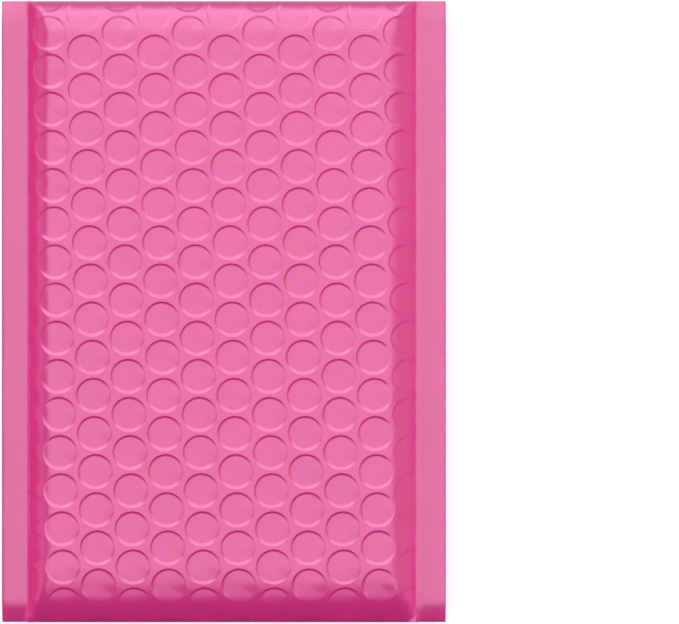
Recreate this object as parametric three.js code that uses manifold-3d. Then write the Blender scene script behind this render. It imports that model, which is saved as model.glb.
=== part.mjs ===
// A padded envelope: a pink polyethylene mailing bag lined with bubble sheet, new and empty.
// It lies on its back with the front face up and the flap folded under it, over the mouth.
// Millimetres. X runs across the envelope, +Y points to its mouth, +Z is up.
// The origin is under the middle of the envelope, on the surface that it lies on.

import * as THREE from "three";
import { mergeGeometries, mergeVertices } from "three/addons/utils/BufferGeometryUtils.js";
import Module from "manifold-3d";

const wasm = await Module();
wasm.setup();

// Overall sizes
const envelopeWidth = 130;
const envelopeLength = 182;

// Side seams: front, lining and back welded into a flat strip along each side
const leftSeamWidth = 7.6;
const rightSeamWidth = 8.8;
const seamThickness = 0.5;

// Shoulders: how the padded faces come down to the seams and to the two ends.
// A bluntness of 1 is a parabola, 2 is a quarter of an ellipse, and a higher one is squarer.
const leftShoulderRun = 7.6;
const rightShoulderRun = 8.8;
const sideBluntness = 1.1;
const creaseShoulderRun = 16;
const creaseBluntness = 1;
const foldShoulderRun = 11;
const foldBluntness = 3;
const shoulderSteps = 3;
const slopeAllowance = 1.5; // a layer counts for this much more along the slope of a shoulder

// Film, pressed down into a flat round dent over each bubble
const filmThickness = 0.15;
const dentDepth = 0.4;
const dentDiameter = 9.75;
const frontDentSides = 9;
const backDentSides = 7;

// Bubble lattice: leaning columns, each half a pitch lower than the one before
const bubblePitch = 11.14;
const columnStep = 10.26;
const columnLeanDegrees = 1.5;
const latticeX = 2.4; // a bubble's centre near the middle of the front
const latticeY = -1.6;
const plainBySeams = 2.4; // the pull of the seams leaves this much free of dents
const plainByFold = 3;
const plainByCrease = 6.2;

// Flap, with its glue strip and the liner that covers the glue
const flapLength = 40;
const flapThickness = 0.2;
const glueThickness = 0.15;
const linerThickness = 0.1;
const linerFromFlapEdge = 4;
const linerFromFold = 3; // from where the flap starts to bend up
const linerFromSides = 2;
const linerOverGlue = 3; // how far the liner reaches past the glue on every side
const linerClearance = 0.35; // between the liner and the back of the envelope
const backRampRun = 4; // where the back rises off the floor to lie on the flap

// Lining, pocket and mouth
const liningClearance = 0.3;
const liningThickness = 3.4;
const pocketHeight = 3.5;
const mouthGap = 5; // the back film stops this far short of the folded end
const liningSetBack = 0.4; // and the lining this much further in
const mouthSlit = 0.8; // height of the pocket where its walls close at the mouth
const mouthTaper = 8; // length over which it closes

const lap = 1; // how far a joined piece reaches into its neighbour, or a cutter past what it cuts
const padLeft = -envelopeWidth / 2 + leftSeamWidth;
const padRight = envelopeWidth / 2 - rightSeamWidth;
const foldedEnd = envelopeLength / 2; // the mouth end, where the flap folds over
const creasedEnd = -envelopeLength / 2; // the far end, where the web is folded in two
const flapEdge = foldedEnd - flapLength;
const flapStack = flapThickness + glueThickness + linerThickness + linerClearance;
const filmInset = dentDepth + filmThickness;
const liningInset = filmInset + liningClearance;
const pocketInset = liningInset + liningThickness;
const padRise = pocketInset + pocketHeight / 2; // from the seams to the flat of either face
const seamHeight = padRise;
const liningEnd = foldedEnd - mouthGap - liningSetBack;

// Solids

function solidOf(geometry) {
  const bare = geometry.index ? geometry.toNonIndexed() : geometry.clone();
  bare.deleteAttribute("normal");
  bare.deleteAttribute("uv");
  const merged = mergeVertices(bare, 1e-4);
  return new wasm.Manifold(
    new wasm.Mesh({
      numProp: 3,
      vertProperties: new Float32Array(merged.attributes.position.array),
      triVerts: new Uint32Array(merged.index.array),
    }),
  );
}

function meshOf(solid, name, material) {
  const { vertProperties, triVerts } = solid.getMesh();
  const geometry = new THREE.BufferGeometry();
  geometry.setAttribute("position", new THREE.BufferAttribute(vertProperties, 3));
  geometry.setIndex(new THREE.BufferAttribute(triVerts, 1));
  geometry.computeVertexNormals();
  const mesh = new THREE.Mesh(geometry, material);
  mesh.name = name;
  return mesh;
}

function block(x, y, z) {
  const geometry = new THREE.BoxGeometry(x[1] - x[0], y[1] - y[0], z[1] - z[0]);
  geometry.translate((x[0] + x[1]) / 2, (y[0] + y[1]) / 2, (z[0] + z[1]) / 2);
  return solidOf(geometry);
}

const axisX = new THREE.Vector3(1, 0, 0);
const axisY = new THREE.Vector3(0, 1, 0);
const axisZ = new THREE.Vector3(0, 0, 1);

function extruded(shape, depth) {
  return new THREE.ExtrudeGeometry(shape, { depth, bevelEnabled: false });
}

// A section drawn across the envelope, in x and z, run along its length
function runAlong(shape, y0, y1) {
  const geometry = extruded(shape, y1 - y0);
  geometry.applyMatrix4(new THREE.Matrix4().makeBasis(axisX, axisZ, axisY.clone().negate()));
  return solidOf(geometry.translate(0, y1, 0));
}

// A section drawn along the envelope, in y and z, run across its width
function runAcross(shape, x0, x1) {
  const geometry = extruded(shape, x1 - x0);
  geometry.applyMatrix4(new THREE.Matrix4().makeBasis(axisY, axisZ, axisX));
  return solidOf(geometry.translate(x0, 0, 0));
}

// Points along a shoulder from its edge to where it is flat, closer together where it turns faster
function shoulderPoints(edge, flat, bluntness) {
  const points = [];
  for (let step = 0; step <= shoulderSteps; step += 1) {
    const along = (step / shoulderSteps) ** ((1 + bluntness) / 2);
    const up = (1 - (1 - along) ** 2) ** (1 / bluntness);
    points.push([edge[0] + (flat[0] - edge[0]) * along, edge[1] + (flat[1] - edge[1]) * up]);
  }
  return points;
}

// The padded body's outline between two ends, a distance inside its outer face.
// "back" lists the points of its flat underside, from its end to its start.
function paddedOutline({ start, end, inset, back }) {
  const u0 = start.edge + inset * slopeAllowance;
  const u1 = end.edge - inset * slopeAllowance;
  const low = seamHeight - seamThickness / 2;
  const high = seamHeight + seamThickness / 2;
  const top = seamHeight + padRise - inset;
  const points = [
    ...shoulderPoints([u0, high], [u0 + start.run, top], start.bluntness),
    ...shoulderPoints([u1, high], [u1 - end.run, top], end.bluntness).reverse(),
    ...shoulderPoints([u1, low], back[0], end.bluntness),
    ...back.slice(1, -1),
    ...shoulderPoints([u0, low], back[back.length - 1], start.bluntness).reverse(),
  ];
  return new THREE.Shape(points.map(([u, v]) => new THREE.Vector2(u, v)));
}

function acrossOutline(inset) {
  const spare = inset * slopeAllowance;
  return paddedOutline({
    start: { edge: padLeft, run: leftShoulderRun, bluntness: sideBluntness },
    end: { edge: padRight, run: rightShoulderRun, bluntness: sideBluntness },
    inset,
    back: [
      [padRight - spare - rightShoulderRun, inset],
      [padLeft + spare + leftShoulderRun, inset],
    ],
  });
}

// "lift" raises the underside where it lies on the flap
function alongOutline(inset, lift) {
  const spare = inset * slopeAllowance;
  return paddedOutline({
    start: { edge: creasedEnd, run: creaseShoulderRun, bluntness: creaseBluntness },
    end: { edge: foldedEnd, run: foldShoulderRun, bluntness: foldBluntness },
    inset,
    back: [
      [foldedEnd - spare - foldShoulderRun, inset + lift],
      [flapEdge, inset + lift],
      [flapEdge - backRampRun, inset],
      [creasedEnd + spare + creaseShoulderRun, inset],
    ],
  });
}

// The body is where the two outlines cross, so its corners are mitred as on a filled bag
function paddedBody(inset) {
  const across = runAlong(acrossOutline(inset), creasedEnd, foldedEnd);
  const along = runAcross(alongOutline(inset, flapStack), padLeft, padRight);
  return across.intersect(along);
}

// Bubbles: one lattice over the whole web, which is folded at the creased end

function bubbleCentres() {
  const lean = Math.tan(THREE.MathUtils.degToRad(columnLeanDegrees));
  const columns = Math.ceil(envelopeWidth / columnStep);
  const rows = Math.ceil((2 * envelopeLength) / bubblePitch) + columns;
  const centres = [];
  for (let column = -columns; column <= columns; column += 1) {
    for (let row = -rows; row <= rows; row += 1) {
      const drop = (row + column / 2) * bubblePitch;
      centres.push([latticeX + column * columnStep + drop * lean, latticeY - drop]);
    }
  }
  return centres;
}

// Round prisms over the bubbles of one face, trimmed to the field that has dents
function dentCutters(centres, sides, z0, z1, field) {
  const radius = dentDiameter / 2;
  const reach = radius / 2; // a centre further outside the field would leave only a sliver
  const near = centres.filter(
    ([x, y]) =>
      x > field.x[0] - reach &&
      x < field.x[1] + reach &&
      y > field.y[0] - reach &&
      y < field.y[1] + reach,
  );
  const prisms = near.map(([x, y]) => {
    const prism = new THREE.CylinderGeometry(radius, radius, z1 - z0, sides);
    prism.rotateX(Math.PI / 2);
    return prism.translate(x, y, (z0 + z1) / 2);
  });
  return solidOf(mergeGeometries(prisms)).intersect(block(field.x, field.y, [z0, z1]));
}

const fieldX = [padLeft + plainBySeams, padRight - plainBySeams];

function frontDents() {
  const field = { x: fieldX, y: [creasedEnd + plainByCrease, foldedEnd - plainByFold] };
  return dentCutters(bubbleCentres(), frontDentSides, seamHeight, seamHeight + padRise + lap, field);
}

function backDents() {
  const centres = bubbleCentres().map(([x, y]) => [x, 2 * creasedEnd - y]);
  const field = { x: fieldX, y: [creasedEnd + plainByCrease, flapEdge - backRampRun] };
  return dentCutters(centres, backDentSides, -lap, seamHeight, field);
}

// Outer film: one web, from the mouth round the creased end, up the front and over as the flap

function seamStrips() {
  const z = [seamHeight - seamThickness / 2, seamHeight + seamThickness / 2];
  const y = [creasedEnd, foldedEnd];
  const left = block([-envelopeWidth / 2, padLeft + lap], y, z);
  const right = block([padRight - lap, envelopeWidth / 2], y, z);
  return left.add(right);
}

function flapSheet() {
  const side = envelopeWidth / 2;
  const outer = runAcross(alongOutline(0, 0), -side, side);
  const inner = runAcross(alongOutline(flapThickness, 0), -side - lap, side + lap);
  const zone = block([-side, side], [flapEdge, foldedEnd], [0, seamHeight]);
  return outer.subtract(inner).intersect(zone);
}

function outerFilm() {
  const raised = paddedBody(0).subtract(frontDents()).subtract(backDents());
  const skin = paddedBody(dentDepth).add(raised);
  const mouth = block([padLeft, padRight], [foldedEnd - mouthGap, foldedEnd], [0, seamHeight]);
  const pouch = skin.subtract(mouth).add(seamStrips());
  return pouch.subtract(paddedBody(filmInset)).add(flapSheet());
}

// Bubble lining: one folded sheet, welded shut at the sides and open at the mouth

function pocketOutline() {
  const half = pocketHeight / 2;
  const u0 = creasedEnd + pocketInset;
  const slit = mouthSlit / 2;
  const shape = new THREE.Shape();
  shape.moveTo(u0, seamHeight);
  shape.lineTo(u0 + half, seamHeight + half);
  shape.lineTo(liningEnd - mouthTaper, seamHeight + half);
  shape.lineTo(liningEnd, seamHeight + slit);
  shape.lineTo(foldedEnd, seamHeight + slit);
  shape.lineTo(foldedEnd, seamHeight - slit);
  shape.lineTo(liningEnd, seamHeight - slit);
  shape.lineTo(liningEnd - mouthTaper, seamHeight - half);
  shape.lineTo(u0 + half, seamHeight - half);
  shape.closePath();
  return shape;
}

function bubbleLining() {
  const across = runAlong(acrossOutline(pocketInset), creasedEnd, foldedEnd);
  const pocket = runAcross(pocketOutline(), padLeft, padRight).intersect(across);
  const mouth = block([padLeft, padRight], [liningEnd, foldedEnd], [0, seamHeight + padRise]);
  return paddedBody(liningInset).subtract(pocket).subtract(mouth);
}

// Glue strip and release liner, on the inside of the flap

const linerSide = envelopeWidth / 2 - linerFromSides;
const linerY = [flapEdge + linerFromFlapEdge, foldedEnd - foldShoulderRun - linerFromFold];

function glueStrip() {
  const side = linerSide - linerOverGlue;
  const y = [linerY[0] + linerOverGlue, linerY[1] - linerOverGlue];
  return block([-side, side], y, [flapThickness, flapThickness + glueThickness]);
}

function releaseLiner() {
  const under = flapThickness + glueThickness;
  return block([-linerSide, linerSide], linerY, [under, under + linerThickness]);
}

// Materials

const pinkFilm = new THREE.MeshStandardMaterial({ color: 0xe86fa8, roughness: 0.38, metalness: 0 });
const clearBubble = new THREE.MeshStandardMaterial({ color: 0xe3e6ea, roughness: 0.3, metalness: 0 });
const hotMelt = new THREE.MeshStandardMaterial({ color: 0xd9cda0, roughness: 0.25, metalness: 0 });
const linerPaper = new THREE.MeshStandardMaterial({ color: 0xf4f3ee, roughness: 0.55, metalness: 0 });

const paddedEnvelope = new THREE.Group();
paddedEnvelope.add(
  meshOf(outerFilm(), "outer_film", pinkFilm),
  meshOf(bubbleLining(), "bubble_lining", clearBubble),
  meshOf(glueStrip(), "glue_strip", hotMelt),
  meshOf(releaseLiner(), "release_liner", linerPaper),
);

export default paddedEnvelope;
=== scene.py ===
# %% [markdown]
# # A pink padded envelope
#
# A bubble mailer is one web of polyethylene film, folded in two at the bottom, welded into a flat seam
# along each side, and lined with bubble sheet. The bubbles press on the film from inside, and each one
# leaves a shallow round dent in it. The CAD part has the same pieces with faceted dents and shoulders.
# Here the film is made again, finer: round dents, soft shoulders, small wrinkles and a satin gloss.
# The CAD part is loaded first, and everything below takes its place from it.

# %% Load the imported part
import math

import bmesh
import bpy
from mathutils import Matrix, Vector, noise


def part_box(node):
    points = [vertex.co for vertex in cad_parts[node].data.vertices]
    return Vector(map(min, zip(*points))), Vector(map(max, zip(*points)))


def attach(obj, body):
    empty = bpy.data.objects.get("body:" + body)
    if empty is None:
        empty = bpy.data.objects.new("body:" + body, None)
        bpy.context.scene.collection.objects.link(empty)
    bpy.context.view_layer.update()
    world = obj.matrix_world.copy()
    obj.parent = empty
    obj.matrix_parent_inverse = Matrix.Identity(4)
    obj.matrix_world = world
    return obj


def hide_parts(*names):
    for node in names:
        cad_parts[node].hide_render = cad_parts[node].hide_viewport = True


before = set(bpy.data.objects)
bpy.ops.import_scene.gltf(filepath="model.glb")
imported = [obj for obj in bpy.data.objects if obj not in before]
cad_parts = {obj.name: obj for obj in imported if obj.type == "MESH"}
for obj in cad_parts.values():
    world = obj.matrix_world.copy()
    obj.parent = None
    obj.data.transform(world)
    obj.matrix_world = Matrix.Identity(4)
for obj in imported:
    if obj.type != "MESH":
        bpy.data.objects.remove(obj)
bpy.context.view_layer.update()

# %% [markdown]
# ## Sizes
#
# The envelope lies on its back, front face up, with its mouth towards +Y. Its overall size comes from the
# CAD film. The widths of the seams and the lattice of the bubbles are the part's own driving dimensions.

# %% Sizes from the frame, and the driving dimensions
MM = 0.001
film_low, film_high = (Vector(corner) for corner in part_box("outer_film"))
left_edge = film_low.x
right_edge = film_high.x
creased_end = film_low.y  # where the web is folded in two
folded_end = film_high.y  # the mouth, where the flap folds over
seam_height = (film_low.z + film_high.z) / 2
pad_rise = film_high.z - seam_height

left_seam_width = 7.6 * MM
right_seam_width = 8.8 * MM
pad_left = left_edge + left_seam_width
pad_right = right_edge - right_seam_width
film_thickness = 0.15 * MM
seam_half_thickness = 0.16 * MM
flap_length = 40 * MM
flap_edge = folded_end - flap_length
print(f"pad {(pad_right - pad_left) / MM:.1f} mm wide, {(folded_end - creased_end) / MM:.1f} mm long")

# %% [markdown]
# ## One bubble's dent
#
# Over a bubble the film sinks by 0.44 mm inside a crisp round rim, and between bubbles it stands up in a low
# web. A fine grid with a displacement would draw the rims as stairs. So one hexagonal cell is made with
# rings of vertices that follow the rim, and the cell is then repeated. The cell's outline is the set of
# points nearest to this bubble, so that neighbouring cells meet edge to edge. The film was under tension
# as it was laid on the bubbles, so a dent isn't the same all round: its wall is steep on the side of the
# mouth, softer on the side of the crease, and low on the right, where the floor rises nearly to the rim.

# %% The bubble lattice and the outline of one cell
BUBBLE_PITCH = 11.14 * MM  # down a column
COLUMN_STEP = 10.26 * MM  # across to the next column
COLUMN_LEAN = math.tan(math.radians(1.5))
LATTICE_ORIGIN = Vector((2.48 * MM, -2.2 * MM, 0))

down = Vector((BUBBLE_PITCH * COLUMN_LEAN, -BUBBLE_PITCH, 0))
across = Vector((COLUMN_STEP, 0, 0)) + down / 2


def corner_between(first, second):
    """The point as far from the bubble at the origin as from its neighbours first and second."""
    crossing = first.x * second.y - first.y * second.x
    x = (first.length_squared * second.y - second.length_squared * first.y) / (2 * crossing)
    y = (second.length_squared * first.x - first.length_squared * second.x) / (2 * crossing)
    return Vector((x, y, 0))


def cell_outline(points_a_side):
    """Points round the cell, with the same number on each of its six sides."""
    neighbours = [across, across - down, -down, -across, down - across, down]
    corners = [corner_between(a, b) for a, b in zip(neighbours, neighbours[1:] + neighbours[:1])]
    outline = []
    for start, end in zip(corners, corners[1:] + corners[:1]):
        outline += [start.lerp(end, step / points_a_side) for step in range(points_a_side)]
    return outline


print("cell corners:", [(round(p.x / MM, 2), round(p.y / MM, 2)) for p in cell_outline(1)])

# %% The cross-section of a dent
DENT_DEPTH = 0.44 * MM
RIM_RADIUS = 5.42  # in mm, as the radii below

# Radius from the bubble's centre, and height of the film there as a share of the dent's depth
FINE_RINGS = [
    (RIM_RADIUS, 0.00),
    (5.26, 0.03),  # a thin raised lip, where the film is drawn over the bubble's edge
    (5.07, -0.24),
    (4.80, -0.74),
    (4.57, -0.98),
    (4.40, -1.00),
]
COARSE_RINGS = [(5.20, 0.00), (4.98, -0.40), (4.70, -0.98)]
DENT_CENTRE = -0.95  # the bubble is a little crowned, so the middle of the dent stands higher
WIDER_BELOW = 0.4  # the wall on the side of the crease is wider by this share
PULLED_SIDE = Vector((0.97, 0.23, 0))  # the side on which a dent is shallow
LOWER_THERE = 0.85  # the wall there is lower by this share
PULL_SPREAD = 4  # a higher one keeps the low wall to a shorter arc


def wall_width(outward):
    """How much wider a dent's wall is in this direction than on the side of the mouth."""
    return 1 + WIDER_BELOW * max(-outward.y, 0)


def wall_height(outward):
    """How high the wall is in this direction, as a share of the dent's depth."""
    return 1 - LOWER_THERE * max(outward.dot(PULLED_SIDE), 0) ** PULL_SPREAD


def make_cell(points_a_side, rings):
    """One cell as a mesh: the outline, then a ring of faces inset to each radius."""
    cell = bmesh.new()
    outline = cell_outline(points_a_side)
    circle = bmesh.ops.create_circle(cell, cap_ends=True, segments=len(outline), radius=MM)
    for vert, point in zip(circle["verts"], outline):
        vert.co = point
    disc = cell.faces[:][0]
    for radius, share in rings:
        # any small inset does, because the lines after it put the ring in its place
        bmesh.ops.inset_individual(cell, faces=[disc], thickness=0.1 * MM)
        for vert in disc.verts:
            outward = Vector((vert.co.x, vert.co.y, 0)).normalized()
            vert.co = outward * (RIM_RADIUS - (RIM_RADIUS - radius) * wall_width(outward)) * MM
            vert.co.z = share * DENT_DEPTH * wall_height(outward)
    middle = bmesh.ops.poke(cell, faces=[disc])["verts"][0]
    middle.co.z = DENT_CENTRE * DENT_DEPTH
    return cell


print(f"dents {DENT_DEPTH / MM:.2f} mm deep, with a rim {RIM_RADIUS} mm from the middle")

# %% [markdown]
# ## The lattice of dents
#
# The cell is repeated down a column, and the column across the film. Each copy shares its outline with the
# next, so merging the doubles gives one sheet. The sheet is then cut to the film's outline with planes.

# %% Repeat the cell over a rectangle
FARTHEST = 60  # cells from the first one, more than enough for any side
ON_PLANE = 1e-7  # points as near to a cutting plane as this count as on it
SAME_POINT = 0.002 * MM  # points of neighbouring cells as near to each other as this are one


def everything(mesh):
    return mesh.verts[:] + mesh.edges[:] + mesh.faces[:]


def copies(mesh, offsets):
    """Adds a copy of all that the mesh holds at each offset."""
    geometry = everything(mesh)
    for offset in offsets:
        made = bmesh.ops.duplicate(mesh, geom=geometry)["geom"]
        verts = [part for part in made if isinstance(part, bmesh.types.BMVert)]
        bmesh.ops.translate(mesh, verts=verts, vec=offset)


def cut(mesh, place, outward, clear_outer=False):
    """Cuts the whole mesh along a plane, and drops what lies outside it where that is asked."""
    bmesh.ops.bisect_plane(
        mesh,
        geom=everything(mesh),
        dist=ON_PLANE,
        plane_co=place,
        plane_no=outward,
        clear_outer=clear_outer,
    )


def dented_sheet(points_a_side, rings, low, high):
    """A flat sheet of the lattice's cells, cut to the rectangle between two corners."""
    origin = LATTICE_ORIGIN  # a cell's centre
    sheet = make_cell(points_a_side, rings)
    bmesh.ops.translate(sheet, verts=sheet.verts[:], vec=origin)
    numbers = [k for k in range(-FARTHEST, FARTHEST + 1) if k != 0]
    spare = 1.6 * BUBBLE_PITCH  # so that the outermost cells reach past the edges
    rows = [down * k for k in numbers]
    copies(sheet, [row for row in rows if low.y - spare < origin.y + row.y < high.y + spare])
    columns = [across * k - down * (k // 2) for k in numbers]
    copies(sheet, [step for step in columns if low.x - spare < origin.x + step.x < high.x + spare])
    bmesh.ops.remove_doubles(sheet, verts=sheet.verts[:], dist=SAME_POINT)
    cut(sheet, low, (-1, 0, 0), clear_outer=True)
    cut(sheet, low, (0, -1, 0), clear_outer=True)
    cut(sheet, high, (1, 0, 0), clear_outer=True)
    cut(sheet, high, (0, 1, 0), clear_outer=True)
    return sheet


front_low = Vector((pad_left, creased_end, 0))
front_high = Vector((pad_right, folded_end, 0))
front_film = dented_sheet(4, FINE_RINGS, front_low, front_high)
print("front film, still flat:", len(front_film.verts), "vertices")

# %% [markdown]
# ## The shoulders of the pad
#
# The padded faces are flat in the middle. At each side they come down to the flat seam in a round shoulder,
# at the bottom they come down to the crease in a long soft one, and at the mouth they go over a blunt nose.
# One formula gives them all: with a bluntness of 1 it is a parabola, with 2 a quarter of an ellipse, and
# with more it is nearly square. Where two shoulders meet at a corner the lower one wins softly.

# %% Height of the pad over its outline
LEFT_RUN = 7.6 * MM  # a run is how far in from its edge a shoulder reaches
RIGHT_RUN = 8.8 * MM
SIDE_BLUNTNESS = 1.1
CREASE_RUN = 16 * MM
CREASE_BLUNTNESS = 1
FOLD_RUN = 11 * MM
FOLD_BLUNTNESS = 3
CORNER_POWER = 3.5  # a higher one makes the corners squarer


def shoulder(distance, run, bluntness):
    """Height of a shoulder at a distance in from its edge, from 0 there to 1 where it is flat."""
    left = 1 - min(max(distance / run, 0), 1)
    return (1 - left * left) ** (1 / bluntness)


def shoulder_stations(run, bluntness, steps):
    """Distances in from the edge, closer together where the shoulder turns faster."""
    return [run * (step / steps) ** ((1 + bluntness) / 2) for step in range(steps + 1)]


def pad_share(x, y):
    """Height of the pad at a point, as a share of its rise."""
    missing = [
        1 - shoulder(x - pad_left, LEFT_RUN, SIDE_BLUNTNESS),
        1 - shoulder(pad_right - x, RIGHT_RUN, SIDE_BLUNTNESS),
        1 - shoulder(y - creased_end, CREASE_RUN, CREASE_BLUNTNESS),
        1 - shoulder(folded_end - y, FOLD_RUN, FOLD_BLUNTNESS),
    ]
    return max(0.0, 1 - sum(m**CORNER_POWER for m in missing) ** (1 / CORNER_POWER))


for distance in shoulder_stations(CREASE_RUN, CREASE_BLUNTNESS, 4):
    share = shoulder(distance, CREASE_RUN, CREASE_BLUNTNESS)
    print(f"{distance / MM:.1f} mm in from the crease the pad has {share:.2f} of its rise")

# %% [markdown]
# ## Lines for the film to bend along
#
# A face can't bend, so the sheet needs edges where it turns. It is cut along lines at the stations of each
# shoulder, which lie closer together where the shoulder turns faster.

# %% Cut the sheet along its shoulders
X_AXIS = Vector((1, 0, 0))
Y_AXIS = Vector((0, 1, 0))


def cut_shoulders(mesh, steps):
    """Cuts the sheet at the stations of its four shoulders."""
    for axis, edge, inward, run, bluntness in (
        (X_AXIS, pad_left, 1, LEFT_RUN, SIDE_BLUNTNESS),
        (X_AXIS, pad_right, -1, RIGHT_RUN, SIDE_BLUNTNESS),
        (Y_AXIS, creased_end, 1, CREASE_RUN, CREASE_BLUNTNESS),
        (Y_AXIS, folded_end, -1, FOLD_RUN, FOLD_BLUNTNESS),
    ):
        for distance in shoulder_stations(run, bluntness, steps)[1:]:
            cut(mesh, axis * (edge + inward * distance), axis)


cut_shoulders(front_film, 8)
print("front film with its bend lines:", len(front_film.verts), "vertices")

# %% [markdown]
# ## Where the bubbles show
#
# On the steep walls the film stands off from the bubbles, so they show less there. Near the crease it is
# pulled straight and they don't show at all, and right at an edge the seam or the fold holds it. Each side
# gives a share between 0 and 1, and their product is what is left of a dent's depth.

# %% How much of a dent is left
HELD = 0.7 * MM  # how far from its edge the film is still held by it


def ease(value, low, high):
    """0 below low, 1 above high, and a smooth rise between them."""
    share = min(max((value - low) / (high - low), 0), 1)
    return share * share * (3 - 2 * share)


def wall_shows(distance, least, low, high):
    """What a wall leaves of the dents at a distance from its edge: least below low, all above high."""
    return (least + (1 - least) * ease(distance, low, high)) * ease(distance, 0, HELD)


def dents_show(x, y):
    """How much of the dent's depth is left at a point."""
    left = wall_shows(x - pad_left, 0.45, 4 * MM, 8 * MM)
    right = wall_shows(pad_right - x, 0.35, 2 * MM, 7.5 * MM)
    fold = wall_shows(folded_end - y, 0.5, 2 * MM, 7 * MM)
    crease = ease(y - creased_end, 6 * MM, 11 * MM)
    return left * right * crease * fold


for inwards in (2, 5, 8):
    share = dents_show(pad_left + inwards * MM, 0)
    print(f"{inwards} mm in from the left seam {share:.2f} of a dent's depth is left")

# %% [markdown]
# ## Where the film puckers
#
# The film was not cut to the pad's shape. It was flat, and the air and the bubbles push it up, so on the
# walls it is slack and lies in small slanting folds. A fan of straight ones comes from the crease, and the
# faces have soft waves. All are noise, stretched along the folds and faded out where they end.

# %% Puckers
SLANT_DEPTH = 0.16 * MM
FAN_DEPTH = 0.12 * MM
WAVE_DEPTH = 0.10 * MM


def pucker(x, y):
    """Small slack folds: slanting ones on the side walls, a fan by the crease, soft waves on the faces."""
    side = min(x - pad_left, pad_right - x)
    on_wall = ease(side, 0, 1.5 * MM) * (1 - ease(side, 3 * MM, 10 * MM))
    near_crease = ease(y - creased_end, 0, 3 * MM) * (1 - ease(y - creased_end, 6 * MM, 16 * MM))
    slant = noise.noise(Vector(((x - y * 0.25) / (7 * MM), (y + side * 1.2) / (4.5 * MM), 3.1)))
    fan = noise.noise(Vector((x / (6.5 * MM), y / (16 * MM), 8.7)))
    wave = noise.noise(Vector((x / (34 * MM), y / (46 * MM), 1.7)))
    ends = ease(y - creased_end, 0, 3 * MM) * ease(folded_end - y, 0, 4 * MM)
    depth = SLANT_DEPTH * slant * on_wall + FAN_DEPTH * fan * near_crease
    return (depth + WAVE_DEPTH * wave * pad_share(x, y)) * ends


row = [pucker(pad_left + 3 * MM, k * MM) / MM for k in range(-60, 61)]
print(f"on the left wall the film puckers between {min(row):.2f} and {max(row):.2f} mm")

# %% [markdown]
# ## Laying the film over the pad
#
# The flat sheet's own height is the dent. So each point goes to the pad's surface, and from there it sinks
# by its dent along the surface's normal, as the film does over a bubble that leans with the wall.

# %% Lay the sheet over the pad
def lay_over_pad(mesh, height, shows):
    """Moves each point of a flat sheet on to a height field, and its dents along the field's normal."""
    near = 0.05 * MM  # half the span over which the slope is taken
    for vert in mesh.verts:
        x, y, relief = vert.co
        slope_x = (height(x + near, y) - height(x - near, y)) / (2 * near)
        slope_y = (height(x, y + near) - height(x, y - near)) / (2 * near)
        normal = Vector((-slope_x, -slope_y, 1)).normalized()
        vert.co = Vector((x, y, height(x, y))) + normal * relief * shows(x, y)


def front_height(x, y):
    """Height of the front film without its dents. The soft waves take the last part of the rise."""
    rise = pad_rise - seam_half_thickness - 1.5 * WAVE_DEPTH
    return seam_height + seam_half_thickness + rise * pad_share(x, y) + pucker(x, y)


lay_over_pad(front_film, front_height, dents_show)
print(f"top of the front film at {max(vert.co.z for vert in front_film.verts) / MM:.2f} mm")

# %% [markdown]
# ## The side seams
#
# Heat and pressure weld the layers into a flat strip along each side. It is made by extruding the film's
# edge outwards in a few strips. A weld is never quite flat: the jaws leave faint lines along it, and it
# waves a little as it cools. Its outer edge is rolled down by the knife, and towards both ends it bends down
# with the rest of the envelope.

# %% Extrude the seams
ON_LINE = 0.01 * MM  # points as near to a line as this count as on it
SLIVER = 0.12 * MM  # points of the seam's edge that lie closer than this are merged
SEAM_STRIPS = (0.05, 0.2, 0.36, 0.52, 0.68, 0.84, 0.96, 1.0)  # as shares of the seam's width
JAW_LINES = 0.035 * MM
SEAM_WAVE = 0.25 * MM
KNIFE_ROLL = 0.12 * MM
BEND_AT_CREASE = 2.9 * MM
BEND_AT_FOLD = 0.7 * MM
BEND_REACH = (-4 * MM, 7 * MM)  # from beyond the seam's end to where it is straight
BEND_OUT = 0.2  # the bend is whole from this share of the seam's width on


def row_at(mesh, axis, place):
    """The boundary edges that lie at a place along an axis."""
    return [
        edge
        for edge in mesh.edges
        if edge.is_boundary and all(abs(vert.co[axis] - place) < ON_LINE for vert in edge.verts)
    ]


def extrude_row(mesh, edges, offset):
    """Extrudes a row of edges by an offset, and gives the new row."""
    made = bmesh.ops.extrude_edge_only(mesh, edges=edges)["geom"]
    verts = {part for part in made if isinstance(part, bmesh.types.BMVert)}
    bmesh.ops.translate(mesh, verts=list(verts), vec=offset)
    return [
        part
        for part in made
        if isinstance(part, bmesh.types.BMEdge) and all(vert in verts for vert in part.verts)
    ]


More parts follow.
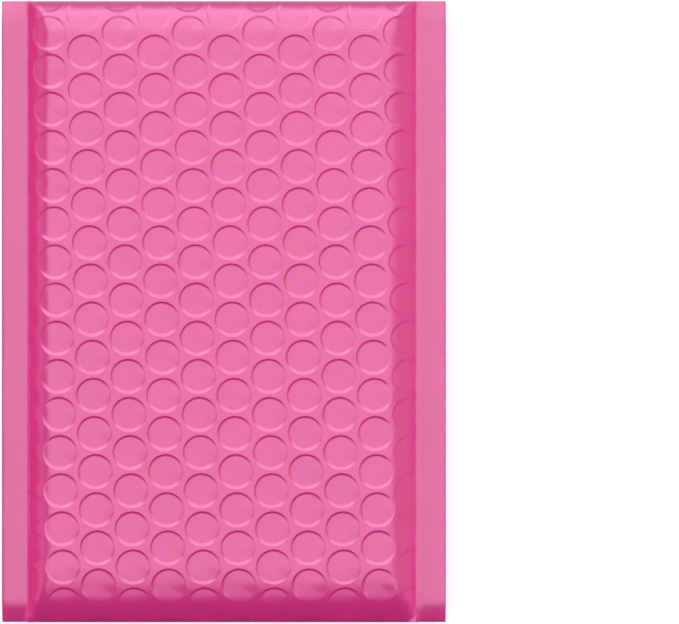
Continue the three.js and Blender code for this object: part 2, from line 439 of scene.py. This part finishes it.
def extrude_seam(mesh, pad_edge, outer_edge, strips):
    """Extrudes the film's side edge out to the envelope's edge, and waves it a little."""
    row = [vert for vert in mesh.verts if vert.is_boundary and abs(vert.co.x - pad_edge) < ON_LINE]
    bmesh.ops.remove_doubles(mesh, verts=row, dist=SLIVER)
    before = set(mesh.verts)
    edges = row_at(mesh, 0, pad_edge)
    start = 0
    for share in strips:
        edges = extrude_row(mesh, edges, X_AXIS * (outer_edge - pad_edge) * (share - start))
        start = share
    for vert in set(mesh.verts) - before:
        x, y, _ = vert.co
        out = (x - pad_edge) / (outer_edge - pad_edge)
        jaws = noise.noise(Vector((x / (1.3 * MM), y / (60 * MM), 5.0)))
        wave = noise.noise(Vector((x / (30 * MM), y / (22 * MM), 9.0)))
        knife = ease(out, 0.95, 1.0)
        near_crease = 1 - ease(y - creased_end, *BEND_REACH)
        near_fold = 1 - ease(folded_end - y, *BEND_REACH)
        vert.co.z += JAW_LINES * jaws + SEAM_WAVE * wave * out * out - KNIFE_ROLL * knife
        bend = BEND_AT_CREASE * near_crease + BEND_AT_FOLD * near_fold
        vert.co.z -= bend * min(out / BEND_OUT, 1)


extrude_seam(front_film, pad_left, left_edge, SEAM_STRIPS)
extrude_seam(front_film, pad_right, right_edge, SEAM_STRIPS)
print("front film with its seams:", len(front_film.verts), "vertices")

# %% [markdown]
# ## The crease and the flap
#
# At the bottom the web turns round into the back film, so its edge is extruded down by the thickness of the
# seam. At the mouth it goes over a round nose and lies flat under the envelope as the flap. The nose under
# the fold is the same shoulder curve as above it, upside down, and the film's edge is extruded along it.

# %% Extrude the crease and the flap
FOLD_STATIONS = 8
FLAP_STRIPS = 6
crease_row = row_at(front_film, 1, creased_end)
extrude_row(front_film, crease_row, Vector((0, 0, -2 * seam_half_thickness)))

flap_row = row_at(front_film, 1, folded_end)
last_in, last_share = 0, 0
for distance in shoulder_stations(FOLD_RUN, FOLD_BLUNTNESS, FOLD_STATIONS)[1:]:
    share = shoulder(distance, FOLD_RUN, FOLD_BLUNTNESS)
    flap_row = extrude_row(front_film, flap_row, Y_AXIS * (last_in - distance))
    for vert in {vert for edge in flap_row for vert in edge.verts}:
        vert.co.z *= (1 - share) / (1 - last_share)
    last_in, last_share = distance, share
for strip in range(FLAP_STRIPS):
    flap_row = extrude_row(front_film, flap_row, Y_AXIS * (last_in - flap_length) / FLAP_STRIPS)
print(f"flap ends at y = {flap_row[0].verts[0].co.y / MM:.1f} mm")

# %% [markdown]
# ## The back film
#
# The web goes on round the crease. So the back is made as the front's own lattice carried on past the
# crease, and then turned over about the crease, as the web was. It lies on the ground, rises at the flap's
# edge, lies on the flap from there on, and ends a little short of the fold. Fewer points do for it.

# %% Make the back film and fold it under
FLAP_STACK = 0.8 * MM  # flap, glue, release liner and a little air
RAMP_RUN = 4 * MM  # over which the back rises on to the flap
MOUTH_GAP = 5 * MM  # between the back's end and the fold
back_end = folded_end - MOUTH_GAP

web_low = Vector((pad_left, 2 * creased_end - back_end, 0))
web_high = Vector((pad_right, creased_end, 0))
back_film = dented_sheet(2, COARSE_RINGS, web_low, web_high)
half_turn = Matrix.Rotation(math.pi, 3, "X")
bmesh.ops.rotate(back_film, verts=back_film.verts[:], cent=(0, creased_end, 0), matrix=half_turn)
cut_shoulders(back_film, 5)
for share in (0, 0.25, 0.5, 0.75, 1):
    cut(back_film, Y_AXIS * (flap_edge - RAMP_RUN * share), Y_AXIS)


def back_height(x, y):
    """Height of the back film without its dents."""
    lift = FLAP_STACK * ease(y - flap_edge, -RAMP_RUN, 0)
    drop = seam_height - seam_half_thickness - lift
    return seam_height - seam_half_thickness - drop * pad_share(x, y)


def back_dents_show(x, y):
    """As on the front, but not where the back lies on the flap."""
    return dents_show(x, y) * ease(flap_edge - RAMP_RUN - y, 0, 2 * MM)


lay_over_pad(back_film, back_height, back_dents_show)
extrude_seam(back_film, pad_left, left_edge, SEAM_STRIPS)
extrude_seam(back_film, pad_right, right_edge, SEAM_STRIPS)
print(f"underside of the back film at {min(vert.co.z for vert in back_film.verts) / MM:.2f} mm")

# %% [markdown]
# ## From sheets to film
#
# Both sheets get the film's thickness inwards, so that the outer face stays where it was measured. The
# faces of an open sheet can point either way, so they are turned to point out before that.

# %% Make the pieces
def face_outwards(mesh, upwards):
    """Turns all faces of a sheet so that most of them face up, or down."""
    bmesh.ops.recalc_face_normals(mesh, faces=mesh.faces[:])
    facing = sum(face.normal.z * face.calc_area() for face in mesh.faces)
    if (facing > 0) != upwards:
        bmesh.ops.reverse_faces(mesh, faces=mesh.faces[:])


def make_piece(name, mesh):
    """Puts a mesh into an object with smooth shading."""
    data = bpy.data.meshes.new(name)
    mesh.to_mesh(data)
    mesh.free()
    data.shade_smooth()
    piece = bpy.data.objects.new(name, data)
    bpy.context.scene.collection.objects.link(piece)
    return piece


def give_thickness(piece):
    wall = piece.modifiers.new("film thickness", "SOLIDIFY")
    wall.thickness = film_thickness
    wall.offset = -1


face_outwards(front_film, True)
face_outwards(back_film, False)
front_piece = make_piece("film_front_and_flap", front_film)
back_piece = make_piece("film_back", back_film)
for piece in (front_piece, back_piece):
    give_thickness(piece)
    print(piece.name, "has", 2 * len(piece.data.polygons), "faces with its inner side")

# %% [markdown]
# ## Materials
#
# Each one is named for the real material. One helper adds a node, sets its values and links its inputs, and
# one function turns sRGB hex colours, as a paint program shows them, into the linear ones that Blender uses.

# %% Helpers for materials
def linear(hex_colour):
    channels = [int(hex_colour[i : i + 2], 16) / 255 for i in (1, 3, 5)]
    return [c / 12.92 if c <= 0.04045 else ((c + 0.055) / 1.055) ** 2.4 for c in channels] + [1]


def add_node(tree, kind, inputs=(), **settings):
    """Adds a node with its settings. An input is given a value, or another node's output to link."""
    node = tree.nodes.new(kind)
    for name, value in settings.items():
        setattr(node, name, value)
    for name, value in dict(inputs).items():
        if isinstance(value, bpy.types.NodeSocket):
            tree.links.new(value, node.inputs[name])
        else:
            node.inputs[name].default_value = value
    return node


def new_material(name):
    """An empty material with its output, and the Object coordinates, which are in metres."""
    material = bpy.data.materials.new(name)
    material.use_nodes = True
    tree = material.node_tree
    tree.nodes.clear()
    place = add_node(tree, "ShaderNodeTexCoord").outputs["Object"]
    return material, tree, place


def finish_material(tree, shader):
    add_node(tree, "ShaderNodeOutputMaterial", {"Surface": shader.outputs[0]})


PER_MM = 1000  # a noise scale of 1 is one wave a metre
print("the film's pink in linear light:", [round(channel, 3) for channel in linear("#DE2E7F")])

# %% [markdown]
# ## Pink polyethylene film
#
# Mailer film is blown polyethylene with pink pigment all through it. It has a satin gloss: the surface is
# smooth, but soft crystals in it haze the reflection. The pigment is a little uneven, by a few per cent over
# some millimetres. The web was drawn lengthwise, so its finest marks are streaks along Y.

# %% Pink film
pink_film, tree, place = new_material("blown polyethylene film, pink")
cloud = add_node(
    tree, "ShaderNodeTexNoise", {"Vector": place, "Scale": PER_MM / 14, "Detail": 3, "Roughness": 0.6}
)
pink = add_node(tree, "ShaderNodeValToRGB", {"Fac": cloud.outputs["Fac"]})
pink.color_ramp.elements[0].position = 0.3
pink.color_ramp.elements[0].color = linear("#D9297A")
pink.color_ramp.elements[1].position = 0.7
pink.color_ramp.elements[1].color = linear("#DE2E7F")
along = add_node(tree, "ShaderNodeMapping", {"Vector": place, "Scale": (1, 0.03, 1)})
streaks = add_node(
    tree, "ShaderNodeTexNoise", {"Vector": along.outputs[0], "Scale": PER_MM / 0.9, "Detail": 2}
)
haze = add_node(tree, "ShaderNodeTexNoise", {"Vector": place, "Scale": PER_MM / 0.5, "Detail": 2})
streak_bump = add_node(
    tree,
    "ShaderNodeBump",
    {"Height": streaks.outputs["Fac"], "Strength": 0.25, "Distance": 0.03 * MM},
)
film_bump = add_node(
    tree,
    "ShaderNodeBump",
    {
        "Height": haze.outputs["Fac"],
        "Strength": 0.2,
        "Distance": 0.02 * MM,
        "Normal": streak_bump.outputs["Normal"],
    },
)
film_shader = add_node(
    tree,
    "ShaderNodeBsdfPrincipled",
    {
        "Base Color": pink.outputs["Color"],
        "Roughness": 0.33,
        "IOR": 1.5,
        "Specular IOR Level": 1.0,
        "Normal": film_bump.outputs["Normal"],
    },
)
finish_material(tree, film_shader)
print(pink_film.name, "has", len(tree.nodes), "nodes")

# %% [markdown]
# ## Lining
#
# Inside is clear bubble sheet, greyish and glossy. The seams and the flap hide it, so the cells of a Voronoi
# texture, one for each bubble's width, do for its relief.

# %% Clear bubble sheet
bubble_sheet, tree, place = new_material("polyethylene bubble sheet, clear")
cells = add_node(tree, "ShaderNodeTexVoronoi", {"Vector": place, "Scale": PER_MM / 11})
cell_bump = add_node(
    tree, "ShaderNodeBump", {"Height": cells.outputs["Distance"], "Strength": 0.4, "Distance": MM}
)
bubble_shader = add_node(
    tree,
    "ShaderNodeBsdfPrincipled",
    {
        "Base Color": linear("#DDE1E6"),
        "Roughness": 0.22,
        "IOR": 1.5,
        "Transmission Weight": 0.35,
        "Normal": cell_bump.outputs["Normal"],
    },
)
finish_material(tree, bubble_shader)
print(bubble_sheet.name, "has", len(tree.nodes), "nodes")

# %% [markdown]
# ## Glue
#
# On the flap is a strip of hot-melt glue, which is amber and lumpy as it was squirted on. One noise gives
# both the lumps and the colour: the glue is paler on the lumps and deeper amber between them, a painted
# highlight and painted shade that follow the relief.

# %% Hot-melt glue
hot_melt, tree, place = new_material("hot-melt glue")
lumps = add_node(tree, "ShaderNodeTexNoise", {"Vector": place, "Scale": PER_MM / 3, "Detail": 4})
# painted light and shade: the lumps' noise makes the glue paler on the high places and deeper amber on the
# low ones
amber_with_painted_shading = add_node(tree, "ShaderNodeValToRGB", {"Fac": lumps.outputs["Fac"]})
amber_with_painted_shading.color_ramp.elements[0].color = linear("#CDBB84")
amber_with_painted_shading.color_ramp.elements[1].color = linear("#E2D9B4")
lump_bump = add_node(
    tree, "ShaderNodeBump", {"Height": lumps.outputs["Fac"], "Strength": 0.6, "Distance": 0.1 * MM}
)
glue_shader = add_node(
    tree,
    "ShaderNodeBsdfPrincipled",
    {
        "Base Color": amber_with_painted_shading.outputs["Color"],
        "Roughness": 0.25,
        "IOR": 1.48,
        "Normal": lump_bump.outputs["Normal"],
    },
)
finish_material(tree, glue_shader)
print(hot_melt.name, "has", len(tree.nodes), "nodes")

# %% [markdown]
# ## Release liner
#
# A strip of silicone-coated paper covers the glue: off-white, with fine fibres. They lie mostly along the
# strip, so the noise that draws them is stretched along X.

# %% Liner paper
liner_paper, tree, place = new_material("silicone-coated liner paper")
grain = add_node(tree, "ShaderNodeMapping", {"Vector": place, "Scale": (0.25, 1, 1)})
fibres = add_node(
    tree, "ShaderNodeTexNoise", {"Vector": grain.outputs[0], "Scale": PER_MM / 0.4, "Detail": 5}
)
off_white = add_node(tree, "ShaderNodeValToRGB", {"Fac": fibres.outputs["Fac"]})
off_white.color_ramp.elements[0].color = linear("#E9E7DE")
off_white.color_ramp.elements[1].color = linear("#F7F6F1")
fibre_bump = add_node(
    tree, "ShaderNodeBump", {"Height": fibres.outputs["Fac"], "Strength": 0.3, "Distance": 0.02 * MM}
)
paper_shader = add_node(
    tree,
    "ShaderNodeBsdfPrincipled",
    {
        "Base Color": off_white.outputs["Color"],
        "Roughness": 0.48,
        "IOR": 1.45,
        "Normal": fibre_bump.outputs["Normal"],
    },
)
finish_material(tree, paper_shader)
print(liner_paper.name, "has", len(tree.nodes), "nodes")

# %% [markdown]
# ## Which finish goes where
#
# The two film pieces take the place of the CAD film. The lining, the glue and the liner keep their CAD
# shapes, which nothing but the finish is missing from.

# %% Assign the finishes and hand the pieces over
def dress(piece, material):
    piece.data.materials.clear()
    piece.data.materials.append(material)


for piece in (front_piece, back_piece):
    dress(piece, pink_film)
    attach(piece, "root")
    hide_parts("outer_film")
for name, material in (
    ("bubble_lining", bubble_sheet),
    ("glue_strip", hot_melt),
    ("release_liner", liner_paper),
):
    dress(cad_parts[name], material)
    print(name, "is", material.name)

# %% [markdown]


# %% [markdown]
# ## Camera
#
# The front is seen head on, so the camera looks straight down on it through a long lens. The envelope isn't
# in the middle of the picture: there is room to its right.

# %% Camera
IMAGE_WIDTH = 679
PIXELS_PER_MM = 3.412  # at the height of the side seams
CAMERA_HEIGHT = 1.6
PICTURE_CENTRE = (33.88 * MM, -0.1 * MM)

view_width = IMAGE_WIDTH / PIXELS_PER_MM * MM
camera_data = bpy.data.cameras.new("camera")
camera_data.lens = camera_data.sensor_width * CAMERA_HEIGHT / view_width
camera_data.clip_end = 20
camera = bpy.data.objects.new("camera", camera_data)
camera.location = (*PICTURE_CENTRE, CAMERA_HEIGHT + seam_height)
bpy.context.scene.collection.objects.link(camera)
bpy.context.scene.camera = camera
print(f"lens {camera_data.lens:.0f} mm")

# %% [markdown]
# ## Light
#
# A softbox overhead, another above the mouth and two fills beside the walls give the light. White cards,
# which are there for reflections alone, lay a pale, slightly cool veil on the film that faces them. The one
# above the mouth is the brightest, for the nose of the fold, and with the two beside it draws the light arcs
# in the dents. The camera sees none of them.

# %% Lamps and white cards
def turn_to_envelope(holder, direction, distance):
    """Places something in a direction from the envelope, facing it, hidden from the camera."""
    away = Vector(direction).normalized()
    holder.location = away * distance
    holder.rotation_euler = away.to_track_quat("Z", "Y").to_euler()
    holder.visible_camera = False


def softbox(name, direction, distance, size, radiance, tint="#FFFFFF", lights=True, reflects=True):
    """A rectangular lamp. It can be left out of the light, or be there for the light alone."""
    lamp = bpy.data.lights.new(name, "AREA")
    lamp.shape = "RECTANGLE"
    lamp.size, lamp.size_y = size
    lamp.energy = 4 * size[0] * size[1] * radiance  # the radiance is the energy over four times the area
    lamp.color = linear(tint)[:3]
    holder = bpy.data.objects.new(name, lamp)
    bpy.context.scene.collection.objects.link(holder)
    turn_to_envelope(holder, direction, distance)
    holder.visible_diffuse = lights
    holder.visible_glossy = reflects


COOL = "#E4E6FF"  # a white with a little blue
softbox("overhead softbox", (0, 0.12, 1), 2.2, (2.7, 2.1), 1.3, COOL, reflects=False)
softbox("softbox above the mouth", (0, 0.84, 1), 2.2, (3.2, 2.0), 0.35, COOL)
softbox("white card overhead", (0, -0.2, 1), 2.2, (2.7, 2.1), 1.22, COOL, lights=False)
softbox("white card above the mouth", (0, 0.84, 1), 2.1, (3.1, 1.9), 2.15, COOL, lights=False)
softbox("white card, upper left", (-1, 1.0, 1.1), 2.2, (1.9, 1.7), 1.6, COOL, lights=False)
softbox("white card, upper right", (1, 1.1, 0.95), 2.2, (1.6, 1.6), 1.3, COOL, lights=False)
softbox("fill, left", (-1, 0, 0.36), 2.0, (1.6, 0.8), 5.0, reflects=False)
softbox("fill, right", (1, 0, 0.36), 2.0, (1.6, 0.8), 5.0, reflects=False)
print(len(bpy.data.lights), "lamps and white cards")

# %% [markdown]
# ## Black cards
#
# Black cards to both sides, beyond the crease and on the floor take the veil off the film that turns their
# way, so that there it shows its own deeper pink: on the walls, and in the dark arcs of the dents. They too
# are there for reflections alone. They cast no shadow, and the camera doesn't see them.

# %% Black velvet cards
velvet, tree, _ = new_material("black velvet")
finish_material(tree, add_node(tree, "ShaderNodeBsdfDiffuse", {"Color": linear("#101010")}))


def black_card(name, direction, distance, size):
    """A rectangular card that only reflections see."""
    mesh = bmesh.new()
    bmesh.ops.create_grid(mesh, x_segments=1, y_segments=1, size=0.5)
    bmesh.ops.scale(mesh, vec=(size[0], size[1], 1), verts=mesh.verts[:])
    board = make_piece(name, mesh)
    dress(board, velvet)
    turn_to_envelope(board, direction, distance)
    board.visible_diffuse = False
    board.visible_shadow = False
    return board


black_card("black card, left", (-1, -0.5, 0.66), 0.8, (1.5, 1.0))
black_card("black card, right", (1, -0.1, 0.34), 0.8, (1.4, 0.55))
black_card("black card beyond the crease", (0, -1, 0.52), 0.8, (2.0, 0.84))

PAPER_LENGTH = 1.2
LEFT_PAPER_WIDTH = 0.8
LOW_PAPER_WIDTH = 0.6
BESIDE = 0.01  # between a paper and the envelope
UP = (0, 0, 1)
left_paper = black_card("black paper on the floor, left", UP, 0.1 * MM, (PAPER_LENGTH, LEFT_PAPER_WIDTH))
left_paper.location.x = left_edge - BESIDE - PAPER_LENGTH / 2
low_size = (PAPER_LENGTH, LOW_PAPER_WIDTH)
low_paper = black_card("black paper on the floor, by the crease", UP, 0.2 * MM, low_size)
low_paper.location.y = creased_end - BESIDE - LOW_PAPER_WIDTH / 2
print(f"black papers end {BESIDE / MM:.0f} mm from the envelope")

# %% [markdown]
# ## The room
#
# The world is white to the camera, in reflections and through clear things, but lights the envelope only
# softly. The Light Path node tells these rays from the others.

# %% World
def seen_directly(tree):
    """1 for rays from the camera, from a reflection or through something clear, and 0 for others."""
    paths = add_node(tree, "ShaderNodeLightPath")
    kinds = [paths.outputs[kind] for kind in ("Is Camera Ray", "Is Glossy Ray", "Is Transmission Ray")]
    two = add_node(tree, "ShaderNodeMath", {0: kinds[0], 1: kinds[1]}, operation="MAXIMUM")
    three = add_node(tree, "ShaderNodeMath", {0: two.outputs[0], 1: kinds[2]}, operation="MAXIMUM")
    return three.outputs[0]


ROOM_STRENGTH = 0.05  # what the white walls of the room add to the light
world = bpy.data.worlds.new("studio")
world.use_nodes = True
bpy.context.scene.world = world
tree = world.node_tree
tree.nodes.clear()
room = add_node(tree, "ShaderNodeBackground", {"Color": linear("#FFFFFF"), "Strength": ROOM_STRENGTH})
white = add_node(tree, "ShaderNodeBackground", {"Color": linear("#FFFFFF"), "Strength": 1.0})
both = add_node(
    tree, "ShaderNodeMixShader", {0: seen_directly(tree), 1: room.outputs[0], 2: white.outputs[0]}
)
add_node(tree, "ShaderNodeOutputWorld", {"Surface": both.outputs[0]})
print(world.name, "world has", len(tree.nodes), "nodes")

# %% [markdown]
# ## The floor
#
# The floor is matt and light grey, so that it takes the envelope's shadow. A glow is added where it is seen
# directly, which brings it up to white like the world behind it.

# %% Floor
FLOOR_GLOW = 0.62
floor_finish, tree, _ = new_material("matt white studio floor")
glow_share = add_node(
    tree, "ShaderNodeMath", {0: seen_directly(tree), 1: FLOOR_GLOW}, operation="MULTIPLY"
)
matt = add_node(tree, "ShaderNodeBsdfDiffuse", {"Color": linear("#C8C8C8")})
glow = add_node(
    tree, "ShaderNodeEmission", {"Color": linear("#FFFFFF"), "Strength": glow_share.outputs[0]}
)
floor_shader = add_node(tree, "ShaderNodeAddShader", {0: matt.outputs[0], 1: glow.outputs[0]})
finish_material(tree, floor_shader)

FLOOR_DROP = 0.05 * MM  # the floor is lower than the film by this, so that they never coincide
floor_mesh = bmesh.new()
bmesh.ops.create_grid(floor_mesh, x_segments=1, y_segments=1, size=4)
floor = make_piece("floor", floor_mesh)
floor.location.z = film_low.z - FLOOR_DROP
dress(floor, floor_finish)
print(f"floor at {floor.location.z / MM:.2f} mm")

# %% [markdown]
# ## Finish
#
# The colours are shown through the plain Standard view transform.

# %% The view transform
bpy.context.scene.view_settings.view_transform = "Standard"
